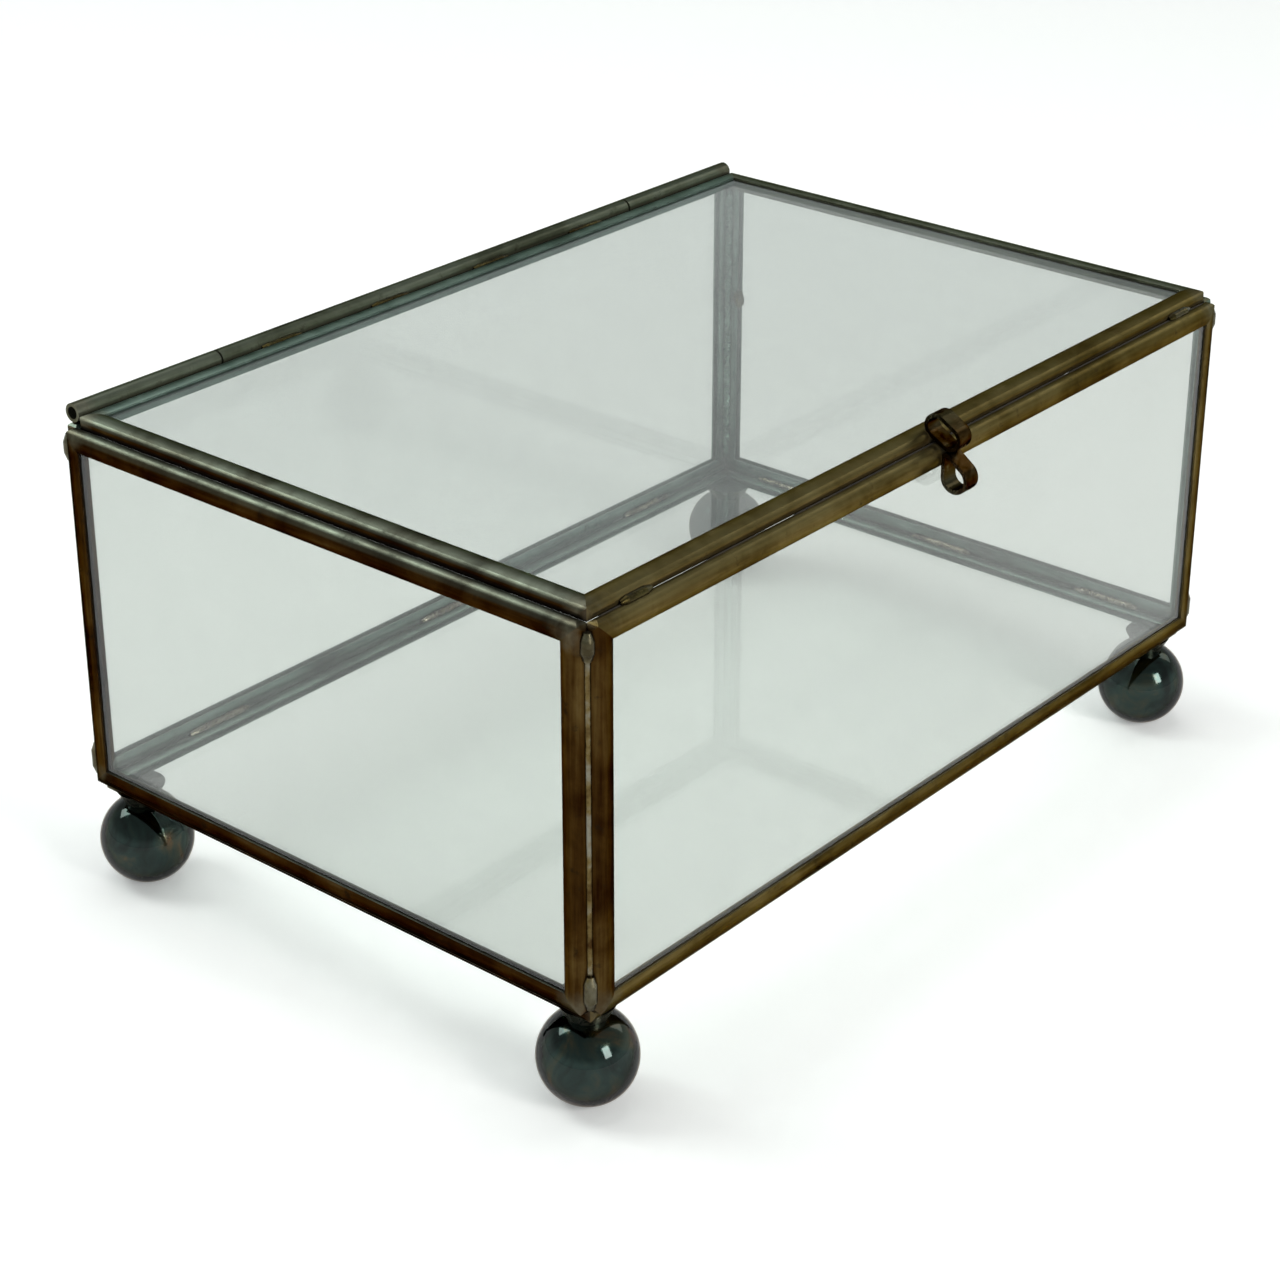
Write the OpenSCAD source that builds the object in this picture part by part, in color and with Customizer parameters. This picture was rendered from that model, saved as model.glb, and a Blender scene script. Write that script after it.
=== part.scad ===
// Glass casket box: four framed wall panes and a framed floor pane soldered into a box,
// a framed glass lid on a long tube hinge, a strip clasp and four ball feet.
// Every pane is edged with mitred lengths of one rolled brass came.
// X runs along the box, the hinge is at +Y, the clasp at -Y, Z is up.
// The origin is the middle of the four feet, on the surface that the box stands on.

/* [Box] */
// Length over the end walls
box_length = 152; // [110:1:210]
// Width over the front and back walls
box_width = 100; // [80:1:150]
// Height of the walls
wall_height = 57; // [35:0.5:90]

/* [Glass and came] */
// Thickness of every pane
glass_thickness = 1.8; // [1.6:0.1:1.9]
// Width of the came, seen square on to its pane
came_width = 2.9; // [2.8:0.1:3.2]
// Thickness of the came across the pane
came_thickness = 2.8; // [2.7:0.1:3]
// Radius of the came's closed edge
came_nose = 1.2; // [1.15:0.05:1.2]
// How far the came laps over the edge of the glass
glass_lap = 1.9; // [1.5:0.1:2]

/* [Floor] */
// Inset of the floor frame from the outside of the walls
floor_inset = 1.8; // [1.3:0.1:2]

/* [Lid] */
// Inset of the lid frame from the front and end walls
lid_inset = 2.1; // [1.7:0.1:2.3]
// Gap between the round edges of the lid frame and of the walls, where the lid nests
lid_gap = 0.1; // [0.08:0.01:0.2]

/* [Hinge] */
// Outside diameter of the hinge tube
tube_diameter = 2.8; // [2.6:0.1:3]
// Wall of the hinge tube
tube_wall = 0.4; // [0.3:0.05:0.6]
// Radial clearance of the pin in the lid's knuckle
pin_clearance = 0.05; // [0.03:0.01:0.08]
// Length of the lid's knuckle
lid_knuckle_length = 92; // [40:1:96]
// Gap between two knuckles
knuckle_gap = 0.4; // [0.3:0.1:1]
// Inset of the tube's ends from the end walls
hinge_end_inset = 2.6; // [2:0.1:6]
// Height of the tube over the back wall
hinge_lift = 0.15; // [0.12:0.01:0.3]
// Gap between the tube and the lid's back came, which tacks of solder bridge
hinge_gap = 0.1; // [0.06:0.01:0.15]

/* [Feet] */
// Diameter of a ball foot
ball_diameter = 14.1; // [11:0.1:16]
// Inset of a ball's middle from the two walls
ball_inset = 6; // [5.5:0.1:8]
// Diameter of the small flat that a ball stands on
ball_flat = 3; // [2:0.1:4]
// Height of the solder cup between a ball and the floor frame
cup_height = 1; // [0.8:0.1:2]

/* [Clasp] */
// Width of the strip that both loops are bent from
strip_width = 2.8; // [2:0.1:4]
// Thickness of the strip
strip_thickness = 0.6; // [0.4:0.1:0.8]
// How far the lid's loop leans down to the front
lid_loop_tilt = 30; // [24:1:32]
// Radius of the round end of the catch
catch_radius = 2.2; // [1.8:0.1:2.4]
// Length of the catch between the middles of its two ends
catch_length = 3.2; // [2.6:0.1:3.6]

/* [Hidden] */
$fn = 48;

// The came's outline is an oval of four tangent arcs, longer than the came is wide:
// its closed edge is a whole end of the oval, and its open edge is cut square.
oval_share = 0.66;
oval_half = came_width * oval_share;
side_half = came_thickness / 2;
side_radius = (oval_half * oval_half + side_half * side_half - 2 * oval_half * came_nose)
    / (2 * (side_half - came_nose));
side_offset = side_radius - side_half;
end_offset = oval_half - came_nose;
arc_join = end_offset * side_radius / (side_radius - came_nose);
slot_start = came_width - glass_lap;

// The frames' outer corners are filed round, to an arc about a point this far in from
// both edges.
corner_centre = 1.7;
corner_radius = 1.8;

// Two stiles of neighbouring walls touch along their closed edges.
stile_inset = side_half + came_nose * (sqrt(2) - 1);
front_length = box_length - 2 * stile_inset;
end_length = box_width - 2 * stile_inset;

// The floor frame hangs under the walls, its closed edge touching theirs.
floor_shift = floor_inset + came_nose - side_half;
floor_drop = sqrt(4 * came_nose * came_nose - floor_shift * floor_shift);
floor_centre = came_nose - floor_drop;

// Heights, from the ground up.
flat_cut = ball_flat / 2;
ball_radius = ball_diameter / 2;
ball_centre_z = sqrt(ball_radius * ball_radius - flat_cut * flat_cut);
floor_bottom_z = ball_centre_z + ball_radius + cup_height;
floor_mid_z = floor_bottom_z + side_half;
wall_bottom_z = floor_mid_z - floor_centre;
wall_top_z = wall_bottom_z + wall_height;

// The lid frame nests inside the walls' rounded top edges, its mid-plane a little higher.
nose_span = 2 * came_nose + lid_gap;
nose_shift = lid_inset + came_nose - side_half;
lid_rise = sqrt(nose_span * nose_span - nose_shift * nose_shift) - came_nose;
lid_mid_z = wall_top_z + lid_rise;

// The hinge tube lies over the back wall, flush with it, and the lid's back came lies
// close beside the tube.
tube_radius = tube_diameter / 2;
bore_radius = tube_radius - tube_wall;
pin_radius = bore_radius - pin_clearance;
axis_z = wall_top_z + tube_radius + hinge_lift;
axis_y = box_width / 2 - tube_radius;
tube_end_x = box_length / 2 - hinge_end_inset;
end_knuckle_length = tube_end_x - lid_knuckle_length / 2 - knuckle_gap;
pin_recess = 2.5;
hinge_reach = tube_radius + hinge_gap + came_nose;
axis_over_lid = axis_z - lid_mid_z;
lid_nose_y = axis_y - sqrt(hinge_reach * hinge_reach - axis_over_lid * axis_over_lid);
lid_back_y = lid_nose_y + came_nose;
lid_front_y = -box_width / 2 + lid_inset;
lid_length = box_length - 2 * lid_inset;
lid_width = lid_back_y - lid_front_y;

// Solder beads stop this far short of the line on which two round edges touch, and thin
// out at both ends, over the taper's length, to this share of their radius.
bead_start = 0.25;
bead_taper = 1.2;
bead_tip = 0.55;
seam_bead = 0.85;
groove_bead = 0.95;
groove_seam = 0.5;
floor_bead = 0.75;
hinge_bead = 0.5;
groove_fill = [5, 4];
floor_tack = 12;
hinge_tack = 8;
hinge_tacks = 4;
rest_inset = 8;
rest_length = 6;
rest_clearance = 0.1;
rest_bead = 0.7;
saddle_length = 7;
saddle_width = 1.1;
cup_share = 0.42;
cup_flare = 1.1;
cup_bite = 0.1;

// Clasp: the lid's loop is a long oval, the catch a teardrop.
loop_end = 1.9;
loop_length = 2.6;
loop_seat_turn = 132;
strip_seat = 0.1;
catch_neck = 0.75;
catch_drop = 1.6;

brass = [0.33, 0.27, 0.18];
dark_brass = [0.2, 0.16, 0.11];
solder = [0.5, 0.49, 0.44];
gunmetal = [0.09, 0.11, 0.11];
clear_glass = [0.78, 0.86, 0.84, 0.35];

function unit(v) = v / norm(v);
function side_of(v) = [-v[1], v[0]];

// ---------- came ----------

// Cross-section: closed edge on x = 0, the pane lies along +x in the slot.
module came_outline() {
    translate([oval_half, 0]) {
        intersection() {
            translate([0, -side_offset]) circle(side_radius, $fn = 128);
            translate([0, side_offset]) circle(side_radius, $fn = 128);
            square([2 * arc_join, came_thickness * 2], center = true);
        }
        for (end = [-1, 1])
            translate([end * end_offset, 0]) circle(came_nose);
    }
}

module came_profile() {
    difference() {
        came_outline();
        translate([slot_start, -glass_thickness / 2]) square([came_width, glass_thickness]);
        translate([came_width, -came_thickness]) square([came_width, came_thickness * 2]);
    }
}

// One length of came along +X with its closed edge on the X axis, mitred at both ends.
module came_bar(length) {
    intersection() {
        rotate([90, 0, 90]) linear_extrude(length) came_profile();
        translate([0, 0, -came_thickness])
            linear_extrude(came_thickness * 2)
                difference() {
                    polygon([
                        [0, 0],
                        [length, 0],
                        [length - came_width, came_width],
                        [came_width, came_width]
                    ]);
                    filed_corner();
                    translate([length, 0]) mirror([1, 0]) filed_corner();
                }
    }
}

// What is filed off a frame's corner at the origin.
module filed_corner() {
    difference() {
        translate([-1, -1]) square(corner_centre + 1);
        translate([corner_centre, corner_centre]) circle(corner_radius);
    }
}

// Side number 0 to 3 of a frame: near, right, far and left.
module frame_side(size, side) {
    corner = [[0, 0], [size[0], 0], [size[0], size[1]], [0, size[1]]][side];
    translate([corner[0], corner[1], 0])
        rotate([0, 0, 90 * side]) came_bar(side % 2 == 0 ? size[0] : size[1]);
}

module pane(size) {
    translate([slot_start, slot_start, -glass_thickness / 2])
        cube([size[0] - 2 * slot_start, size[1] - 2 * slot_start, glass_thickness]);
}

// ---------- places ----------

front_size = [front_length, wall_height];
end_size = [end_length, wall_height];
floor_size = [box_length - 2 * floor_inset, box_width - 2 * floor_inset];
lid_size = [lid_length, lid_width];

module on_front() {
    translate([-front_length / 2, -box_width / 2 + side_half, wall_bottom_z])
        rotate([90, 0, 0]) children();
}

module on_back() {
    translate([-front_length / 2, box_width / 2 - side_half, wall_bottom_z])
        rotate([90, 0, 0]) children();
}

module on_left() {
    translate([-box_length / 2 + side_half, -end_length / 2, wall_bottom_z])
        rotate([90, 0, 90]) children();
}

module on_right() {
    translate([box_length / 2 - side_half, -end_length / 2, wall_bottom_z])
        rotate([90, 0, 90]) children();
}

module on_floor() {
    translate([-floor_size[0] / 2, -floor_size[1] / 2, floor_mid_z]) children();
}

module on_lid() {
    translate([-lid_length / 2, lid_front_y, lid_mid_z]) children();
}

// Corner number 0 to 3: front left, front right, back right and back left. A child is
// drawn with the corner's two walls running away along +X and +Y.
module at_corner(number) {
    place = [[-1, -1], [1, -1], [1, 1], [-1, 1]][number];
    translate([place[0] * box_length / 2, place[1] * box_width / 2, 0])
        rotate([0, 0, 90 * number]) children();
}

// ---------- solder ----------

// A bead of solder along +Z, drawn out at both ends, which lies in the groove beside the
// point where two round edges touch. What it seats on is given as children, in plan.
module bead(touch, way, radius, length) {
    difference() {
        translate(touch + way * radius) {
            translate([0, 0, bead_taper]) cylinder(h = length - 2 * bead_taper, r = radius);
            cylinder(h = bead_taper, r1 = radius * bead_tip, r2 = radius);
            translate([0, 0, length - bead_taper])
                cylinder(h = bead_taper, r1 = radius, r2 = radius * bead_tip);
        }
        translate([0, 0, -1])
            linear_extrude(length + 2) {
                children();
                translate(touch)
                    rotate([0, 0, atan2(way[1], way[0])])
                        translate([-radius, -radius * 2])
                            square([radius + bead_start, radius * 4]);
            }
    }
}

// The two stiles of a corner in plan, the corner's nominal edge on the origin.
module stile_pair() {
    translate([stile_inset, side_half]) came_outline();
    translate([side_half, stile_inset]) rotate([0, 0, 90]) came_outline();
}

stile_touch = side_half + came_nose / sqrt(2);

// Seams up the inside of the four corners, between the bottom and top cames.
module corner_seams() {
    color(solder)
        for (number = [0:3])
            at_corner(number)
                translate([0, 0, wall_bottom_z + came_width])
                    bead(
                        [stile_touch, stile_touch], unit([1, 1]), seam_bead,
                        wall_height - 2 * came_width
                    )
                        stile_pair();
}

// Outer grooves of the corners: a thin seam up each one, thick at its bottom and top ends.
module corner_solder() {
    seam_bottom = wall_bottom_z + came_nose;
    seam_top = wall_top_z - came_nose;
    parts = [
        [groove_seam, seam_bottom, seam_top - seam_bottom],
        [groove_bead, seam_bottom, groove_fill[0]],
        [groove_bead, seam_top - groove_fill[1], groove_fill[1]]
    ];
    color(solder)
        for (number = [0:3], part = parts)
            at_corner(number)
                translate([0, 0, part[1]])
                    bead([stile_touch, stile_touch], unit([-1, -1]), part[0], part[2])
                        stile_pair();
}

// Section across a wall's foot: x inwards from the outside face, y up from the wall's
// bottom edge.
module wall_foot_section() {
    translate([side_half, 0]) rotate([0, 0, 90]) came_outline();
    translate([floor_inset, floor_centre]) came_outline();
}

module floor_fillet(length) {
    wall_nose = [side_half, came_nose];
    floor_nose = [floor_inset + came_nose, floor_centre];
    touch = (wall_nose + floor_nose) / 2;
    way = side_of(unit(floor_nose - wall_nose));
    translate([-length / 2, 0, 0])
        rotate([90, 0, 90])
            bead(touch, way, floor_bead, length) wall_foot_section();
}

// Tacks along the inside of the joint between the walls and the floor frame.
module floor_solder() {
    color(solder)
        for (turn = [0, 180], along = [-1, 0, 1]) {
            rotate([0, 0, turn])
                translate([along * box_length / 3, -box_width / 2, wall_bottom_z])
                    floor_fillet(floor_tack);
            rotate([0, 0, turn + 90])
                translate([along * box_width / 3, -box_length / 2, wall_bottom_z])
                    floor_fillet(floor_tack);
        }
}

// Beads on the front wall's top came that the closed lid comes to rest on.
module lid_rests() {
    wall_nose = [side_half, -came_nose];
    lid_nose = [lid_inset + came_nose, lid_rise];
    touch = (wall_nose + lid_nose) / 2;
    way = side_of(unit(lid_nose - wall_nose));
    color(solder)
        for (end = [-1, 1])
            translate([
                end * (box_length - rest_length) / 2 - end * rest_inset - rest_length / 2,
                -box_width / 2,
                wall_top_z
            ])
                rotate([90, 0, 90])
                    bead(touch, way, rest_bead, rest_length) {
                        translate([side_half, 0]) rotate([0, 0, -90]) came_outline();
                        translate(lid_nose) circle(came_nose + rest_clearance);
                    }
}

// ---------- feet ----------

module ball_foot(number) {
    color(gunmetal)
        at_corner(number)
            translate([ball_inset, ball_inset, 0])
                difference() {
                    translate([0, 0, ball_centre_z]) sphere(ball_radius, $fn = 96);
                    translate([-flat_cut * 2, -flat_cut * 2, -ball_diameter])
                        cube([flat_cut * 4, flat_cut * 4, ball_diameter]);
                }
}

// A flared cup of solder over each ball, seated up round the floor cames.
module foot_cups() {
    cup_bottom_radius = ball_radius * cup_share;
    cup_bottom_z = ball_centre_z
        + sqrt(ball_radius * ball_radius - cup_bottom_radius * cup_bottom_radius);
    cup_top_z = floor_mid_z - glass_thickness / 2 - cup_bite;
    color(dark_brass)
        difference() {
            for (number = [0:3])
                at_corner(number)
                    translate([ball_inset, ball_inset, cup_bottom_z])
                        cylinder(
                            h = cup_top_z - cup_bottom_z,
                            r1 = cup_bottom_radius,
                            r2 = cup_bottom_radius + cup_flare
                        );
            for (number = [0:3])
                at_corner(number)
                    translate([ball_inset, ball_inset, ball_centre_z])
                        sphere(ball_radius, $fn = 96);
            for (side = [0:3])
                on_floor() frame_side(floor_size, side);
        }
}

// ---------- hinge ----------

module tube(from_x, length, inner_radius) {
    translate([from_x, axis_y, axis_z])
        rotate([0, 90, 0])
            difference() {
                cylinder(h = length, r = tube_radius);
                translate([0, 0, -1]) cylinder(h = length + 2, r = inner_radius);
            }
}

module lid_knuckle() {
    color(brass) tube(-lid_knuckle_length / 2, lid_knuckle_length, bore_radius);
}

// The end knuckles grip the pin.
module hinge_knuckle_left() {
    color(brass) tube(-tube_end_x, end_knuckle_length, pin_radius);
}

module hinge_knuckle_right() {
    color(brass) tube(tube_end_x - end_knuckle_length, end_knuckle_length, pin_radius);
}

module hinge_pin() {
    pin_end_x = tube_end_x - pin_recess;
    color(solder)
        translate([-pin_end_x, axis_y, axis_z])
            rotate([0, 90, 0]) cylinder(h = 2 * pin_end_x, r = pin_radius);
}

// Solder saddles that hold the end knuckles up off the back wall's top came.
module hinge_saddles() {
    knuckle_mid_x = tube_end_x - end_knuckle_length / 2;
    saddle_step = end_knuckle_length / 4;
    color(solder)
        for (end = [-1, 1], step = [-1, 1])
            translate([
                end * knuckle_mid_x + step * saddle_step - saddle_length / 2,
                axis_y,
                axis_z
            ])
                rotate([90, 0, 90])
                    linear_extrude(saddle_length)
                        difference() {
                            translate([-saddle_width, -hinge_reach])
                                square([2 * saddle_width, hinge_reach]);
                            circle(tube_radius);
                            translate([tube_radius - side_half, wall_top_z - axis_z])
                                rotate([0, 0, -90]) came_outline();
                        }
}

// Fillets on top of the joint between the lid's back came and its knuckle.
module lid_hinge_solder() {
    lid_nose = [lid_nose_y - axis_y, -axis_over_lid];
    way = -side_of(unit(lid_nose));
    touch = unit(lid_nose) * (tube_radius + hinge_gap / 2);
    color(solder)
        for (tack = [1:hinge_tacks])
            translate([
                lid_knuckle_length * ((tack - 0.5) / hinge_tacks - 0.5) - hinge_tack / 2,
                axis_y,
                axis_z
            ])
                rotate([90, 0, 90])
                    bead(touch, way, hinge_bead, hinge_tack) {
                        circle(tube_radius);
                        translate(lid_nose + [came_nose, 0])
                            rotate([0, 0, 180]) came_outline();
                    }
}

// ---------- clasp ----------

// One bend of the strip, in the X-Y plane with the strip's width along Z. The radius is
// that of the outer side.
module strip_bend(centre, radius, from_angle, sweep) {
    translate(centre)
        rotate([0, 0, from_angle])
            rotate_extrude(angle = sweep)
                translate([radius - strip_thickness, -strip_width / 2])
                    square([strip_thickness, strip_width]);
}

// A straight length of the strip between two points of its outer side, which faces the
// way that is given.
module strip_straight(start, finish, way) {
    linear_extrude(strip_width, center = true)
        polygon([
            start,
            finish,
            finish - way * strip_thickness,
            start - way * strip_thickness
        ]);
}

// A closed loop of strip round two points, in the Y-Z plane: two bends and the straights
// that are tangent to both. The outline that it seats on is given as children.
module strip_loop(centre_a, radius_a, centre_b, radius_b) {
    gap = centre_b - centre_a;
    far = [norm(gap), 0];
    spread = acos((radius_a - radius_b) / norm(gap));
    rotate([90, 0, 90])
        difference() {
            translate(centre_a)
                rotate([0, 0, atan2(gap[1], gap[0])]) {
                    strip_bend([0, 0], radius_a, spread, 360 - 2 * spread);
                    strip_bend(far, radius_b, -spread, 2 * spread);
                    for (turn = [-spread, spread]) {
                        way = [cos(turn), sin(turn)];
                        strip_straight(way * radius_a, far + way * radius_b, way);
                    }
                }
            linear_extrude(strip_width * 2, center = true) children();
        }
}

// Loop on the lid's front came, which serves as the finger lift.
module lid_loop() {
    nose = [lid_front_y + came_nose, lid_mid_z];
    reach = loop_end + came_nose - strip_seat;
    back_end = nose + reach * [cos(loop_seat_turn), sin(loop_seat_turn)];
    front_end = back_end - loop_length * [cos(lid_loop_tilt), sin(lid_loop_tilt)];
    color(dark_brass)
        strip_loop(back_end, loop_end, front_end, loop_end)
            translate([lid_front_y, lid_mid_z]) came_outline();
}

// Teardrop catch on the front wall's top came, right under the lid's loop.
module catch_loop() {
    face_y = -box_width / 2 + strip_seat;
    neck = [face_y - catch_neck, wall_top_z - catch_drop];
    round_end = [
        face_y - catch_radius,
        neck[1] - sqrt(pow(catch_length, 2) - pow(catch_radius - catch_neck, 2))
    ];
    color(dark_brass)
        strip_loop(neck, catch_neck, round_end, catch_radius)
            translate([-box_width / 2 + side_half, wall_top_z])
                rotate([0, 0, -90]) came_outline();
}

// ---------- glass ----------

module floor_glass() { color(clear_glass) on_floor() pane(floor_size); }
module front_glass() { color(clear_glass) on_front() pane(front_size); }
module back_glass() { color(clear_glass) on_back() pane(front_size); }
module left_glass() { color(clear_glass) on_left() pane(end_size); }
module right_glass() { color(clear_glass) on_right() pane(end_size); }
module lid_glass() { color(clear_glass) on_lid() pane(lid_size); }

// ---------- frames ----------

module floor_front_came() { color(brass) on_floor() frame_side(floor_size, 0); }
module floor_right_came() { color(brass) on_floor() frame_side(floor_size, 1); }
module floor_back_came() { color(brass) on_floor() frame_side(floor_size, 2); }
module floor_left_came() { color(brass) on_floor() frame_side(floor_size, 3); }

module front_bottom_came() { color(brass) on_front() frame_side(front_size, 0); }
module front_right_stile() { color(brass) on_front() frame_side(front_size, 1); }
module front_top_came() { color(brass) on_front() frame_side(front_size, 2); }
module front_left_stile() { color(brass) on_front() frame_side(front_size, 3); }

module back_bottom_came() { color(brass) on_back() frame_side(front_size, 0); }
module back_right_stile() { color(brass) on_back() frame_side(front_size, 1); }
module back_top_came() { color(brass) on_back() frame_side(front_size, 2); }
module back_left_stile() { color(brass) on_back() frame_side(front_size, 3); }

module left_bottom_came() { color(brass) on_left() frame_side(end_size, 0); }
module left_back_stile() { color(brass) on_left() frame_side(end_size, 1); }
module left_top_came() { color(brass) on_left() frame_side(end_size, 2); }
module left_front_stile() { color(brass) on_left() frame_side(end_size, 3); }

module right_bottom_came() { color(brass) on_right() frame_side(end_size, 0); }
module right_back_stile() { color(brass) on_right() frame_side(end_size, 1); }
module right_top_came() { color(brass) on_right() frame_side(end_size, 2); }
module right_front_stile() { color(brass) on_right() frame_side(end_size, 3); }

module lid_front_came() { color(brass) on_lid() frame_side(lid_size, 0); }
module lid_right_came() { color(brass) on_lid() frame_side(lid_size, 1); }
module lid_back_came() { color(brass) on_lid() frame_side(lid_size, 2); }
module lid_left_came() { color(brass) on_lid() frame_side(lid_size, 3); }

module foot_front_left() { ball_foot(0); }
module foot_front_right() { ball_foot(1); }
module foot_back_right() { ball_foot(2); }
module foot_back_left() { ball_foot(3); }

// ---------- assembly ----------

floor_glass();
front_glass();
back_glass();
left_glass();
right_glass();
floor_front_came();
floor_right_came();
floor_back_came();
floor_left_came();
front_bottom_came();
front_right_stile();
front_top_came();
front_left_stile();
back_bottom_came();
back_right_stile();
back_top_came();
back_left_stile();
left_bottom_came();
left_back_stile();
left_top_came();
left_front_stile();
right_bottom_came();
right_back_stile();
right_top_came();
right_front_stile();
corner_seams();
corner_solder();
floor_solder();
lid_rests();
foot_front_left();
foot_front_right();
foot_back_right();
foot_back_left();
foot_cups();
hinge_knuckle_left();
hinge_knuckle_right();
hinge_pin();
hinge_saddles();
catch_loop();
lid_glass();
lid_front_came();
lid_right_came();
lid_back_came();
lid_left_came();
lid_knuckle();
lid_hinge_solder();
lid_loop();
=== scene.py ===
"""Looks of the glass casket box: finishes, small solder work, beads of painted shade, floor,
light and camera.

The frame's X runs along the box, the clasp is at -Y, the hinge at +Y and the floor at z = 0.
Lengths are in metres, and in millimetres where a function or a value says so.
"""

import math

import bmesh
import bpy
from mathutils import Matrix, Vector, noise


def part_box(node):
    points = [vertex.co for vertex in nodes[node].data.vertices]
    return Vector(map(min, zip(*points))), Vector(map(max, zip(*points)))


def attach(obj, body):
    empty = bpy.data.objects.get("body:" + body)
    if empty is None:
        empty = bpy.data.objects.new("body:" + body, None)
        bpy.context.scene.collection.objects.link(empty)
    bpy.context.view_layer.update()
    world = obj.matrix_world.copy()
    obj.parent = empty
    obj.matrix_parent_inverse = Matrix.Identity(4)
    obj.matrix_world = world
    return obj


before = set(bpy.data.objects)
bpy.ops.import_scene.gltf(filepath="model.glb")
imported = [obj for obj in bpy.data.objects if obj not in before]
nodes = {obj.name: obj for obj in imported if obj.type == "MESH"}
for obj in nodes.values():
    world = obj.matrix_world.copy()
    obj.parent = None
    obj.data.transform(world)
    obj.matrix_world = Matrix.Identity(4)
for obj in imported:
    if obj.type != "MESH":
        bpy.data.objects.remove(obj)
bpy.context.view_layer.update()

MM = 0.001
WHITE = (1.0, 1.0, 1.0)

# How far the walls' frames reach along X, Y and Z.
wall_low, wall_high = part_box("front_bottom_came")[0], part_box("front_top_came")[1]
side_low, side_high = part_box("left_bottom_came")
WALL_SPANS = [
    (wall_low.x, wall_high.x),
    (side_low.y, side_high.y),
    (wall_low.z, wall_high.z),
]


# ---------- node trees ----------

class Tree:
    """The node tree of a material or a world, with short calls for the nodes that are used
    again and again."""

    def __init__(self, owner):
        owner.use_nodes = True
        self.nodes = owner.node_tree.nodes
        self.links = owner.node_tree.links
        self.coordinates = self.add("ShaderNodeTexCoord").outputs
        self.place = self.coordinates["Object"]

    def add(self, kind, **settings):
        node = self.nodes.new(kind)
        for key, value in settings.items():
            setattr(node, key, value)
        return node

    def feed(self, socket, value):
        """Links an output to a socket, or sets the socket to a number or to a colour, which
        is 3 numbers."""
        if isinstance(value, bpy.types.NodeSocket):
            self.links.new(value, socket)
        elif socket.type == "RGBA":
            socket.default_value = (*value, 1.0)
        else:
            socket.default_value = value

    def stretched(self, scale):
        """The object's own coordinates, scaled by a vector."""
        mapping = self.add("ShaderNodeMapping")
        self.feed(mapping.inputs["Vector"], self.place)
        mapping.inputs["Scale"].default_value = scale
        return mapping.outputs["Vector"]

    def part(self, vector, axis):
        """The X, Y or Z (0, 1 or 2) of a vector."""
        node = self.add("ShaderNodeSeparateXYZ")
        self.feed(node.inputs[0], vector)
        return node.outputs[axis]

    def noise(self, vector, scale, detail, roughness=0.5, distortion=0.0):
        """Noise from 0 to 1, with `scale` lumps to the metre."""
        node = self.add("ShaderNodeTexNoise")
        self.feed(node.inputs["Vector"], vector)
        node.inputs["Scale"].default_value = scale
        node.inputs["Detail"].default_value = detail
        node.inputs["Roughness"].default_value = roughness
        node.inputs["Distortion"].default_value = distortion
        return node.outputs["Fac"]

    def ramp(self, value, *stops):
        """A colour ramp; each stop is (position, colour)."""
        node = self.add("ShaderNodeValToRGB")
        self.feed(node.inputs["Fac"], value)
        points = node.color_ramp.elements
        while len(points) < len(stops):
            points.new(0.5)
        for point, (position, colour) in zip(points, stops):
            point.position = position
            point.color = (*colour, 1.0)
        return node.outputs["Color"]

    def remap(self, value, before, after):
        """Moves a value from one range, (low, high), into another and keeps it inside."""
        node = self.add("ShaderNodeMapRange")
        self.feed(node.inputs["Value"], value)
        for side, number in zip(("From Min", "From Max", "To Min", "To Max"),
                                (*before, *after)):
            node.inputs[side].default_value = number
        return node.outputs["Result"]

    def mix(self, share, first, second):
        """From one colour to another as the share goes from 0 to 1."""
        node = self.add("ShaderNodeMix", data_type="RGBA")
        self.feed(node.inputs["Factor"], share)
        self.feed(node.inputs["A"], first)
        self.feed(node.inputs["B"], second)
        return node.outputs["Result"]

    def maths(self, operation, first, second=0.0):
        node = self.add("ShaderNodeMath", operation=operation)
        self.feed(node.inputs[0], first)
        self.feed(node.inputs[1], second)
        return node.outputs[0]

    def any_ray(self, *kinds):
        """1 for a ray of one of these kinds, and 0 for any other."""
        rays = self.add("ShaderNodeLightPath").outputs
        seen = rays[f"Is {kinds[0]} Ray"]
        for kind in kinds[1:]:
            seen = self.maths("MAXIMUM", seen, rays[f"Is {kind} Ray"])
        return seen

    def bump(self, height, depth, strength, normal=None):
        node = self.add("ShaderNodeBump")
        self.feed(node.inputs["Height"], height)
        node.inputs["Distance"].default_value = depth
        node.inputs["Strength"].default_value = strength
        if normal is not None:
            self.feed(node.inputs["Normal"], normal)
        return node.outputs["Normal"]


class Finish(Tree):
    """A material round one Principled shader."""

    def __init__(self, name):
        self.material = bpy.data.materials.new(name)
        super().__init__(self.material)
        self.shader = self.nodes["Principled BSDF"]
        self.surface = self.nodes["Material Output"].inputs["Surface"]

    def grime_and_shade(self):
        """How deep in a hollow or crevice a point lies, from 0 in the open to 1; it masks both
        grime and painted shade.
        """
        node = self.add("ShaderNodeAmbientOcclusion", samples=12)
        node.inputs["Distance"].default_value = HOLLOW
        return self.remap(node.outputs["AO"], HOLLOW_LIGHT, (0.0, 1.0))

    def off_middle(self, axis):
        """How far a point lies from the middle of the walls' frames along an axis."""
        low, high = WALL_SPANS[axis]
        along = self.part(self.place, axis)
        return self.maths("ABSOLUTE", self.maths("SUBTRACT", along, (low + high) / 2))

    def set(self, **values):
        """Sets the shader's sockets: base_color=..., roughness=... and so on."""
        for key, value in values.items():
            socket = key.replace("_", " ").title().replace("Ior", "IOR")
            self.feed(self.shader.inputs[socket], value)
        return self.material


# ---------- colours ----------

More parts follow.
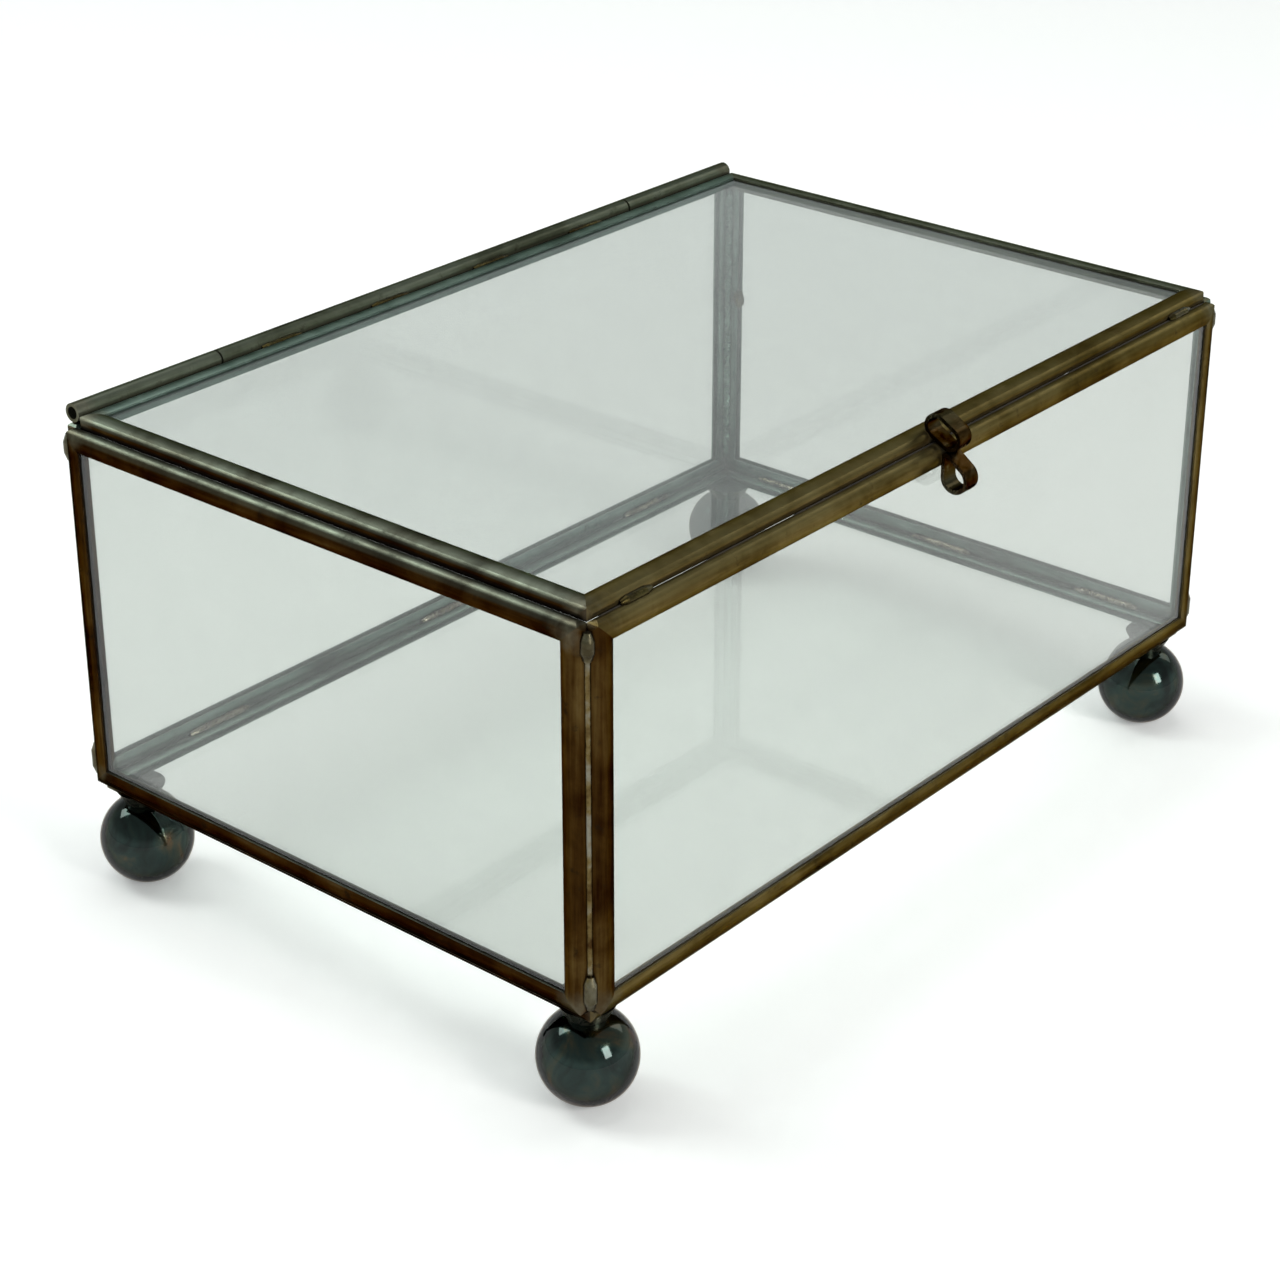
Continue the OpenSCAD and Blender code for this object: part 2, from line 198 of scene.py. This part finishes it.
SOOT = (0.012, 0.009, 0.006)
# The dark of grime and of painted shade in hollows and joints.
GRIME_AND_SHADE = (0.010, 0.006, 0.003)
DULL_TIN = (0.105, 0.095, 0.066)
GREY_TIN = (0.200, 0.188, 0.150)
PALE_TIN = (0.330, 0.315, 0.280)

# Four tones of old brass each, from the darkest to the palest.
PATINAS = {
    "olive": ((0.032, 0.021, 0.007), (0.078, 0.053, 0.018), (0.130, 0.093, 0.036),
              (0.205, 0.160, 0.074)),
    # The left end's red-brown, darkened as painted shade.
    "shaded_russet": ((0.006, 0.002, 0.001), (0.017, 0.006, 0.001), (0.038, 0.018, 0.005),
               (0.090, 0.062, 0.028)),
    "umber": ((0.013, 0.004, 0.001), (0.038, 0.018, 0.004), (0.074, 0.044, 0.013),
              (0.125, 0.090, 0.038)),
    "grey_green": ((0.030, 0.030, 0.018), (0.070, 0.074, 0.048), (0.112, 0.121, 0.088),
                   (0.185, 0.195, 0.155)),
    # Verdigris, partly a painted green reflection on the back and right.
    "verdigris_and_reflection": ((0.045, 0.064, 0.053), (0.098, 0.142, 0.122), (0.155, 0.218, 0.192),
                  (0.240, 0.310, 0.280)),
}
TONE_STOPS = (0.34, 0.46, 0.58, 0.74)

# The paler bloom that settles on faces that look up, also a painted highlight on their tops.
BLOOMS_AND_HIGHLIGHTS = {
    "olive": (0.140, 0.114, 0.052),
    "shaded_russet": (0.124, 0.140, 0.109),
    "umber": (0.110, 0.115, 0.080),
    "grey_green": (0.118, 0.130, 0.100),
    "verdigris_and_reflection": (0.190, 0.250, 0.215),
}

# A hollow is judged over this distance. Grime and painted shade start at the first share of
# open sky and are thickest at the second.
HOLLOW = 1.8 * MM
HOLLOW_LIGHT = (0.66, 0.36)

# Dull solder covers about the first length of a came's ends and fades over the second, and
# its edge strays by up to the third.
TINNED_LENGTH = 2.6 * MM
TINNED_FADE = 2.5 * MM
TINNED_RAGGED = 3.0 * MM

# The outer seams are wiped grey over this length of their ends, and the grey fades in.
WIPED_LENGTH = 6.5 * MM
WIPED_FADE = 2.0 * MM

# Streaks along a came are 20 times as long as they are wide.
STREAK_WIDTH = 0.05


# ---------- finishes ----------

def came_finish(axis, patina):
    """Antiqued brass came, rolled along one axis: patina with a paler bloom on the faces
    that look up, which is also a painted highlight, drawn streaks, grime and painted shade
    in the hollows, and dull solder over the bar's ends."""
    tree = Finish(f"{patina}_came_along_{'xyz'[axis]}")
    along = [1.0, 1.0, 1.0]
    along[axis] = STREAK_WIDTH
    drawn = tree.noise(tree.stretched(along), scale=1000, detail=4, roughness=0.6)
    cloud = tree.noise(tree.place, scale=75, detail=5, roughness=0.62, distortion=0.4)
    mottle = tree.noise(tree.place, scale=480, detail=4, roughness=0.65)

    tone = tree.maths("ADD", tree.maths("MULTIPLY", cloud, 0.6),
                      tree.maths("MULTIPLY", drawn, 0.4))
    colour = tree.ramp(tone, *zip(TONE_STOPS, PATINAS[patina]))
    spots = tree.remap(mottle, (0.60, 0.74), (0.0, 0.6))
    colour = tree.mix(spots, colour, SOOT)

    # Faces that look up are paler: partly a bloom, partly a painted highlight.
    upward_bloom_and_highlight = tree.remap(tree.part(tree.coordinates["Normal"], 2), (0.30, 0.80), (0.0, 1.0))
    patchy = tree.remap(cloud, (0.36, 0.60), (0.35, 0.95))
    colour = tree.mix(tree.maths("MULTIPLY", upward_bloom_and_highlight, patchy), colour, BLOOMS_AND_HIGHLIGHTS[patina])

    low, high = WALL_SPANS[axis]
    ragged = tree.maths("ADD", tree.off_middle(axis),
                        tree.maths("MULTIPLY", mottle, TINNED_RAGGED))
    edge = (high - low) / 2 - TINNED_LENGTH
    tinned = tree.remap(ragged, (edge, edge + TINNED_FADE), (0.0, 0.6))
    tin = tree.ramp(cloud, (0.36, PATINAS[patina][1]), (0.50, DULL_TIN), (0.68, GREY_TIN))
    colour = tree.mix(tinned, colour, tin)

    # Hollows and joints go dark: partly grime, partly painted shade.
    grime_and_shade = tree.grime_and_shade()
    colour = tree.mix(grime_and_shade, colour, PATINAS[patina][0])
    dull = tree.maths("MULTIPLY", tree.maths("ADD", spots, grime_and_shade), 0.3)
    rough = tree.maths("ADD", tree.remap(mottle, (0.3, 0.7), (0.30, 0.44)), dull)
    dents = tree.bump(tree.noise(tree.place, scale=95, detail=2), 0.4 * MM, strength=0.2)
    scratches = tree.bump(drawn, 0.05 * MM, strength=0.3, normal=dents)
    return tree.set(base_color=colour, metallic=tree.maths("SUBTRACT", 1.0, grime_and_shade),
                    roughness=rough, normal=scratches, specular_tint=(0.27, 0.27, 0.22))


def lumpy_tin(tree, pool, colour, roughness, depth):
    """Solder of a colour that may vary: grime and painted shade in its hollows, pools and a
    fine grain.
    """
    grain = tree.noise(tree.place, scale=1500, detail=3)
    pools = tree.bump(pool, depth, strength=0.5)
    return tree.set(base_color=tree.mix(tree.grime_and_shade(), colour, GRIME_AND_SHADE), metallic=1.0,
                    roughness=tree.remap(grain, (0.3, 0.7), roughness),
                    normal=tree.bump(grain, 0.06 * MM, strength=0.4, normal=pools))


def solder_finish(name, *stops):
    """Tin solder, darkened in its hollows by grime and painted shade; its colour runs over the
    stops.
    """
    tree = Finish(name)
    pool = tree.noise(tree.place, scale=300, detail=4, roughness=0.6)
    return lumpy_tin(tree, pool, tree.ramp(pool, *stops), (0.2, 0.4), 0.5 * MM)


def seam_finish():
    """The outer seam of a corner: brown along its middle, wiped grey where it spreads over
    the mitres."""
    tree = Finish("wiped_solder")
    pool = tree.noise(tree.place, scale=300, detail=4, roughness=0.6)
    brown = tree.ramp(pool, (0.30, PATINAS["shaded_russet"][2]), (0.48, PATINAS["olive"][2]),
                      (0.66, GREY_TIN))
    grey = tree.ramp(pool, (0.32, (0.036, 0.028, 0.014)), (0.50, (0.066, 0.056, 0.032)),
                     (0.68, (0.115, 0.104, 0.072)))
    low, high = WALL_SPANS[2]
    edge = (high - low) / 2 - WIPED_LENGTH
    wiped = tree.remap(tree.off_middle(2), (edge, edge + WIPED_FADE), (0.0, 1.0))
    return lumpy_tin(tree, pool, tree.mix(wiped, brown, grey), (0.26, 0.42), 0.4 * MM)


def ball_finish():
    """Polished gunmetal under lacquer, with brown bloom and fine pits."""
    tree = Finish("gunmetal_ball")
    bloom = tree.noise(tree.place, scale=150, detail=6, roughness=0.62, distortion=1.2)
    pits = tree.noise(tree.place, scale=900, detail=4, roughness=0.6)
    colour = tree.ramp(
        bloom, (0.34, (0.004, 0.008, 0.007)), (0.50, (0.012, 0.026, 0.022)),
        (0.60, (0.030, 0.034, 0.022)), (0.72, (0.090, 0.050, 0.022)))
    rough = tree.maths("ADD", tree.remap(bloom, (0.4, 0.75), (0.08, 0.26)),
                       tree.remap(pits, (0.5, 0.8), (0.0, 0.12)))
    return tree.set(base_color=colour, metallic=1.0, roughness=rough,
                    normal=tree.bump(pits, 0.05 * MM, strength=0.35), coat_weight=0.45,
                    coat_roughness=0.05, specular_tint=(0.35, 0.26, 0.18))


def clasp_finish():
    """Dark polished strip, dull brown in places and with brass showing through."""
    tree = Finish("clasp_strip")
    patina = tree.noise(tree.place, scale=380, detail=5, roughness=0.6, distortion=0.6)
    cloud = tree.noise(tree.place, scale=170, detail=2)
    colour = tree.ramp(
        patina, (0.34, (0.010, 0.006, 0.003)), (0.52, (0.040, 0.024, 0.012)),
        (0.66, (0.076, 0.060, 0.034)), (0.8, (0.260, 0.210, 0.130)))
    dull = tree.remap(cloud, (0.48, 0.62), (0.0, 0.6))
    colour = tree.mix(dull, colour, (0.062, 0.058, 0.036))
    # Its hollows go dark with grime and painted shade.
    return tree.set(base_color=tree.mix(tree.grime_and_shade(), colour, GRIME_AND_SHADE), metallic=1.0,
                    roughness=tree.remap(patina, (0.3, 0.7), (0.14, 0.32)),
                    normal=tree.bump(patina, 0.18 * MM, strength=0.3),
                    specular_tint=(0.28, 0.22, 0.14))


def pin_finish():
    """Steel wire, rusted a little."""
    tree = Finish("hinge_wire")
    rust = tree.noise(tree.place, scale=600, detail=4)
    colour = tree.ramp(rust, (0.35, (0.09, 0.07, 0.055)), (0.6, (0.3, 0.29, 0.27)))
    return tree.set(base_color=colour, metallic=1.0,
                    roughness=tree.remap(rust, (0.3, 0.7), (0.28, 0.5)))


def glass_finish():
    """Clear float glass with a faint film of dust; lamps shine through it."""
    tree = Finish("clear_pane")
    film = tree.noise(tree.place, scale=38, detail=5, roughness=0.62, distortion=0.5)
    smear = tree.noise(tree.stretched((1.0, 0.35, 0.6)), scale=160, detail=3)
    haze = tree.maths("MULTIPLY", film, smear)
    waves = tree.noise(tree.place, scale=22, detail=1)
    tree.set(base_color=(0.745, 0.765, 0.747), ior=1.5,
             transmission_weight=tree.remap(haze, (0.12, 0.42), (0.995, 0.975)),
             roughness=tree.remap(haze, (0.15, 0.4), (0.0, 0.012)),
             normal=tree.bump(waves, 0.6 * MM, strength=0.06))
    through = tree.add("ShaderNodeBsdfTransparent")
    tree.feed(through.inputs["Color"], (0.90, 0.92, 0.915))
    either = tree.add("ShaderNodeMixShader")
    tree.feed(either.inputs["Fac"], tree.any_ray("Shadow"))
    tree.feed(either.inputs[1], tree.shader.outputs["BSDF"])
    tree.feed(either.inputs[2], through.outputs["BSDF"])
    tree.feed(tree.surface, either.outputs["Shader"])
    return tree.material


def shade_bead_finish():
    """Near-black crumbly finish for the beads of painted shade."""
    tree = Finish("dark_shade_bead")
    crumbs = tree.noise(tree.place, scale=900, detail=4)
    colour = tree.ramp(crumbs, (0.35, SOOT), (0.70, (0.036, 0.027, 0.015)))
    return tree.set(base_color=colour, roughness=0.85,
                    normal=tree.bump(crumbs, 0.1 * MM, strength=0.6))


# ---------- the frame's nodes ----------

SOLDER_NODES = ["corner_seams", "corner_solder", "floor_solder", "lid_rests",
                "hinge_saddles", "lid_hinge_solder", "foot_cups"]
BALL_NODES = [name for name in nodes if name.startswith("foot_") and name != "foot_cups"]
GLASS_NODES = [name for name in nodes if name.endswith("_glass")]
CLASP_NODES = ["lid_loop", "catch_loop"]
OTHER_NODES = SOLDER_NODES + BALL_NODES + GLASS_NODES + CLASP_NODES + ["hinge_pin"]
CAME_NODES = [name for name in nodes if name not in OTHER_NODES]


def dress(names, material):
    for name in names:
        mesh = nodes[name].data
        mesh.materials.clear()
        mesh.materials.append(material)
        for face in mesh.polygons:
            face.material_index = 0


def came_axis(name):
    """0, 1 or 2 for the axis that a length of came runs along."""
    low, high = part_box(name)
    size = high - low
    return max(range(3), key=lambda i: size[i])


def patina_of(name):
    """The box's tones: red-brown at its left end, darker there as painted shade, olive at the
    front, and grey to green at the hinge and the right end, the green partly verdigris and
    partly a painted reflection."""
    # The left end is darker as painted shade.
    if "left" in name and not name.startswith("hinge"):
        return "umber" if name.endswith("stile") else "shaded_russet"
    if name.startswith("front") or name == "lid_front_came":
        return "olive"
    if "knuckle" in name or name in ("lid_right_came", "right_top_came"):
        return "grey_green"
    # The green at the back and right is partly a painted reflection.
    if "back" in name or "right" in name:
        return "verdigris_and_reflection"
    return "olive"


came_finishes = {}
for name in CAME_NODES:
    kind = came_axis(name), patina_of(name)
    if kind not in came_finishes:
        came_finishes[kind] = came_finish(*kind)
    dress([name], came_finishes[kind])

soft_solder = solder_finish("soft_solder", (0.34, SOOT), (0.48, DULL_TIN), (0.66, GREY_TIN),
                            (0.80, PALE_TIN))
brown_solder = solder_finish("brown_solder", (0.36, (0.028, 0.020, 0.007)),
                             (0.60, (0.058, 0.046, 0.015)), (0.80, (0.085, 0.074, 0.042)))
green_solder = solder_finish("green_solder", (0.34, (0.045, 0.064, 0.053)),
                             (0.52, (0.098, 0.150, 0.126)), (0.70, (0.165, 0.235, 0.205)))
dress(["floor_solder", "foot_cups"], soft_solder)
dress(["lid_rests", "hinge_saddles", "lid_hinge_solder"], brown_solder)
dress(["corner_seams"], green_solder)
dress(["corner_solder"], seam_finish())
dress(BALL_NODES, ball_finish())
dress(CLASP_NODES, clasp_finish())
dress(["hinge_pin"], pin_finish())
dress(GLASS_NODES, glass_finish())


# ---------- small solder and beads of painted shade, in millimetres ---

# How closely the uneven patches of a pool of solder lie, and how far apart two pools of one
# piece are in the noise that they come from.
PATCHES = 1.6
POOL_APART = 7.3
POOL_START = 1.7

# The pools under the ends of the hinge tube lie this far in from the ends.
END_INSET = 1.3
END_POOL = (1.25, 0.85, 0.5)
END_UNEVEN = 0.12

# The drop on the back right post: from the post's low corner, and its share of the height.
DROP_PLACE = (0.4, -0.3)
DROP_HEIGHT = 0.60
DROP_SIZE = (0.85, 1.2, 1.7)
DROP_UNEVEN = 0.2

# Half the width and half the height of the dark beads that paint shade in the joint, the steps
# that they are made in, and how their size wavers and shrinks at the ends.
NOSE_BEAD = (0.25, 0.1)
JOINT_BEAD = (0.2, 0.2)
BEAD_SIDES = 8
BEAD_STEP = 1.0
BEAD_SIZE = 0.88
BEAD_WAVER = 0.24
WAVER_LENGTH = 0.9
BEAD_END = 0.35

# The nose of the front wall's top came, in from its outer face and down from its top. Its
# beads of painted shade have gaps, from one X to the next: two left open, so that light comes
# through, and one where the bead is only pinched.
NOSE_IN = 1.8
NOSE_DOWN = 0.07
FRONT_GAPS = ((-65.0, -51.2), (-40.6, -33.1), (33.1, 33.1))

# The joints at the two ends, in from the lid's frame and down from the walls' top, and where
# their beads stop.
JOINT_IN = 0.75
JOINT_DOWN = 1.08
CORNER_CLEAR = 0.8
NEAR_CLEAR = 4.5
FAR_CLEAR = 6.0


def millimetres(name):
    """The low and high corners of a node's box."""
    low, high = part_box(name)
    return low / MM, high / MM


def add_to_casket(name, shape, material):
    """Makes one smooth piece of solder, or of painted shade, on the casket from a bmesh."""
    mesh = bpy.data.meshes.new(name)
    shape.to_mesh(mesh)
    shape.free()
    for face in mesh.polygons:
        face.use_smooth = True
    mesh.materials.append(material)
    piece = bpy.data.objects.new(name, mesh)
    bpy.context.scene.collection.objects.link(piece)
    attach(piece, "casket")


def pools(name, centres, radii, unevenness):
    """Uneven pools of brown solder in one piece."""
    shape = bmesh.new()
    for number, centre in enumerate(centres):
        start = Vector((number * POOL_APART, POOL_START, len(name)))
        ball = bmesh.ops.create_icosphere(shape, subdivisions=4, radius=1.0)
        for vertex in ball["verts"]:
            way = vertex.co.normalized()
            size = 1 + unevenness * noise.noise(way * PATCHES + start)
            vertex.co = Vector([MM * (c + size * w * r) for c, w, r in zip(centre, way, radii)])
    add_to_casket(name, shape, brown_solder)


def small_solder():
    """Solder under the ends of the hinge tube, and a drop on the back right post."""
    tube_low, tube_high = millimetres("hinge_knuckle_left")
    wall_top = millimetres("back_top_came")[1].z
    pools("hinge_end_solder",
          [(way * (-tube_low.x - END_INSET), (tube_low.y + tube_high.y) / 2, wall_top)
           for way in (-1, 1)], END_POOL, END_UNEVEN)
    post_low, post_high = millimetres("right_back_stile")
    drop = (post_low.x + DROP_PLACE[0], post_low.y + DROP_PLACE[1],
            post_low.z + DROP_HEIGHT * (post_high.z - post_low.z))
    pools("post_drop", [drop], DROP_SIZE, DROP_UNEVEN)


def bead(shape, first, last, half_width, half_height):
    """Adds a closed, wavering bead between two points to a bmesh."""
    along = last - first
    count = max(4, int(along.length / BEAD_STEP))
    across = Vector((-along.y, along.x, 0)).normalized()
    rings = []
    for i in range(count + 1):
        middle = first + along * (i / count)
        size = BEAD_SIZE + BEAD_WAVER * noise.noise(middle * WAVER_LENGTH)
        if i in (0, count):
            size *= BEAD_END
        ring = []
        for k in range(BEAD_SIDES):
            turn = 2 * math.pi * k / BEAD_SIDES
            point = middle + across * half_width * size * math.cos(turn)
            point.z += half_height * size * math.sin(turn)
            ring.append(shape.verts.new(point * MM))
        rings.append(ring)
    for one, two in zip(rings, rings[1:]):
        for k in range(BEAD_SIDES):
            shape.faces.new((one[k], one[k - 1], two[k - 1], two[k]))
    shape.faces.new(rings[0])
    shape.faces.new(rings[-1][::-1])


def joint_shade_beads():
    """Dark beads that paint shade in the joint between the lid and the walls: along the nose
    of the front wall's top came, and down in the joints at the two ends."""
    front_low, front_high = millimetres("front_top_came")
    side_near, side_far = millimetres("left_top_came")
    end = millimetres("lid_left_came")[0].x + JOINT_IN
    corner = end + CORNER_CLEAR
    shape = bmesh.new()
    nose = front_low.y + NOSE_IN, front_high.z - NOSE_DOWN
    stops = [corner, *(x for gap in FRONT_GAPS for x in gap), -corner]
    for start, stop in zip(stops[::2], stops[1::2]):
        bead(shape, Vector((start, *nose)), Vector((stop, *nose)), *NOSE_BEAD)
    height = front_high.z - JOINT_DOWN
    near, far = side_near.y + NEAR_CLEAR, side_far.y - FAR_CLEAR
    for x in (end, -end):
        bead(shape, Vector((x, near, height)), Vector((x, far, height)), *JOINT_BEAD)
    bmesh.ops.recalc_face_normals(shape, faces=shape.faces[:])
    add_to_casket("joint_shade_beads", shape, shade_bead_finish())


small_solder()
joint_shade_beads()


# ---------- floor, light and camera ----------

FLOOR_HALF = 6.0
FLOOR_GLOW = 0.22
FILL_STRENGTH = 0.7

# How bright the surroundings are to reflections and as fill, by how steeply a ray climbs,
# and how much red and blue is in their light for each part of green.
CEILING = ((0.14, 1.0), (0.36, 0.5), (0.75, 0.36), (1.0, 0.32))
CEILING_RED, CEILING_BLUE = 0.88, 0.97

LAMP_AIM = (0.0, 0.0, 0.04)

# The photographer's eye, in millimetres from the middle of the box and over the foot of its
# walls, the way that they looked, in degrees, and the lens and sensor, in millimetres.
EYE = (-310.95, -256.20, 213.82)
HEADING = 40.131
DIP = 25.231
LENS = 81.55
SENSOR = 36.0
LENS_SHIFT = -0.0625


def plain_floor():
    """A pale floor, white to the eye and in reflections where nothing shades it."""
    half = FLOOR_HALF
    mesh = bpy.data.meshes.new("floor")
    corners = [(-half, -half, 0), (half, -half, 0), (half, half, 0), (-half, half, 0)]
    mesh.from_pydata(corners, [], [(0, 1, 2, 3)])
    floor = bpy.data.objects.new("floor", mesh)
    bpy.context.scene.collection.objects.link(floor)
    tree = Finish("pale_floor")
    speck = tree.noise(tree.place, scale=300, detail=3)
    colour = tree.ramp(speck, (0.3, (0.86, 0.855, 0.85)), (0.7, (0.9, 0.895, 0.89)))
    tree.set(base_color=colour, roughness=0.9, specular_ior_level=0.1)
    glow = tree.add("ShaderNodeEmission")
    tree.feed(glow.inputs["Color"], WHITE)
    seen = tree.any_ray("Camera", "Glossy", "Transmission")
    tree.feed(glow.inputs["Strength"], tree.maths("MULTIPLY", seen, FLOOR_GLOW))
    both = tree.add("ShaderNodeAddShader")
    tree.feed(both.inputs[0], tree.shader.outputs["BSDF"])
    tree.feed(both.inputs[1], glow.outputs["Emission"])
    tree.feed(tree.surface, both.outputs["Shader"])
    mesh.materials.append(tree.material)


def surroundings():
    """White to the eye, white walls and a duller ceiling in reflections, and a softer fill
    for shading."""
    world = bpy.data.worlds.new("studio")
    bpy.context.scene.world = world
    tree = Tree(world)
    climb = tree.part(tree.coordinates["Generated"], 2)
    ceiling = tree.ramp(climb, *(
        (height, (level * CEILING_RED, level, level * CEILING_BLUE))
        for height, level in CEILING))
    colour = tree.mix(tree.any_ray("Camera", "Transmission"), ceiling, WHITE)
    seen = tree.any_ray("Camera", "Glossy", "Transmission")
    back = tree.nodes["Background"]
    tree.feed(back.inputs["Color"], colour)
    tree.feed(back.inputs["Strength"], tree.remap(seen, (0.0, 1.0), (FILL_STRENGTH, 1.0)))


def lamp(name, place, size, power, colour=WHITE):
    """A softbox that faces the box; its power is in watts."""
    data = bpy.data.lights.new(name, "AREA")
    data.shape = "RECTANGLE"
    data.size, data.size_y = size
    data.energy = power
    data.color = colour
    light = bpy.data.objects.new(name, data)
    bpy.context.scene.collection.objects.link(light)
    light.location = place
    way = Vector(LAMP_AIM) - Vector(place)
    light.rotation_euler = way.to_track_quat("-Z", "Y").to_euler()


def camera():
    """The photographer stood off the front left corner and looked down on the box."""
    data = bpy.data.cameras.new("camera")
    data.sensor_width = SENSOR
    data.lens = LENS
    data.shift_y = LENS_SHIFT
    data.clip_start = 0.01
    data.clip_end = 50.0
    eye = bpy.data.objects.new("camera", data)
    bpy.context.scene.collection.objects.link(eye)
    x, y, over_foot = EYE
    eye.location = (x * MM, y * MM, wall_low.z + over_foot * MM)
    eye.rotation_euler = (math.radians(90 - DIP), 0, math.radians(HEADING - 90))
    bpy.context.scene.camera = eye


plain_floor()
surroundings()
lamp("window", (-0.07, -1.0, 0.5), size=(0.3, 0.44), power=6.5, colour=(1.0, 0.99, 0.97))
lamp("side_window", (0.85, -0.3, 0.6), size=(0.3, 0.5), power=0.8, colour=(1.0, 0.98, 0.95))
lamp("back_window", (-0.33, 0.67, 0.77), size=(0.35, 0.45), power=3.6,
     colour=(0.94, 1.0, 0.97))
lamp("ceiling", (0.1, 0.25, 1.1), size=(0.9, 0.9), power=4.5)
camera()

scene = bpy.context.scene
scene.view_settings.view_transform = "Standard"
scene.cycles.use_denoising = True
scene.cycles.transparent_max_bounces = 24
scene.cycles.max_bounces = 16
scene.cycles.transmission_bounces = 16
scene.cycles.glossy_bounces = 6
